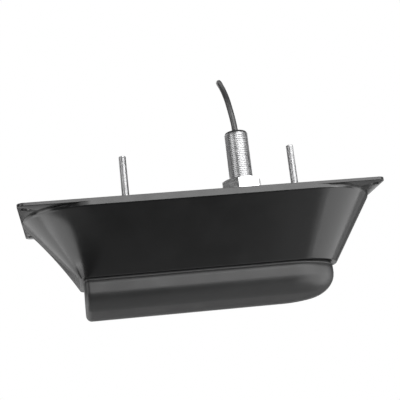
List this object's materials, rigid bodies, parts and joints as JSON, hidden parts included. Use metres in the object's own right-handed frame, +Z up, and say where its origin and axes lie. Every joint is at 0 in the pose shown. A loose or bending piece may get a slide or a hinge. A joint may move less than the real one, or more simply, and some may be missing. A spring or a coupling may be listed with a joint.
{
  "type": "sonar transducer",
  "caption": "Through-hull imaging sonar transducer: a tapered fairing with a flat flange, a bar of arrays below, and a threaded stem, studs and a coiled cable with a plug.",
  "frame": {"origin": "middle of the flat hull face on top of the flange", "axes": "+X to the bow (the rounded nose), +Y to port, +Z up into the hull along the stem"},
  "size_m": [0.37, 0.1959, 0.2668],
  "materials": {
    "fairing_plastic": "satin moulded",
    "bar_plastic": "satin moulded",
    "gasket_rubber": "matt",
    "gland_rubber": "satin",
    "carrier_plastic": "matt",
    "array_ceramic": "matt",
    "backing_foam": "matt closed cell",
    "board": "varnished",
    "ferrite": "matt",
    "sensor_brass": "turned",
    "steel": "turned stainless",
    "nut_steel": "bright turned",
    "cable_jacket": "satin",
    "strap": "woven",
    "plug_plastic": "satin",
    "contact_brass": "plated"
  },
  "bodies": {
    "root": {"fairing_block": "fairing_plastic", "bar_gasket": "gasket_rubber", "bar_lid": "bar_plastic", "lid_seal": "gasket_rubber", "bar_housing": "bar_plastic", "array_carrier": "carrier_plastic", "port_array": "array_ceramic", "starboard_array": "array_ceramic", "down_array": "array_ceramic", "port_backing": "backing_foam", "starboard_backing": "backing_foam", "down_backing": "backing_foam", "matching_board": "board", "matching_coils": "ferrite", "temperature_sensor": "sensor_brass", "stem": "steel", "stem_seal": "gasket_rubber", "hull_nut": "nut_steel", "flat_washer": "steel", "sealing_washer": "gasket_rubber", "rear_stud": "steel", "front_stud": "steel", "stud_seals": "gasket_rubber", "cable_gland": "gland_rubber", "stem_lead": "cable_jacket", "cable": "cable_jacket", "cable_coil": "cable_jacket", "cable_tail": "cable_jacket", "coil_tie": "strap", "plug_body": "plug_plastic", "plug_collar": "plug_plastic", "plug_contacts": "contact_brass"}
  },
  "joints": []
}
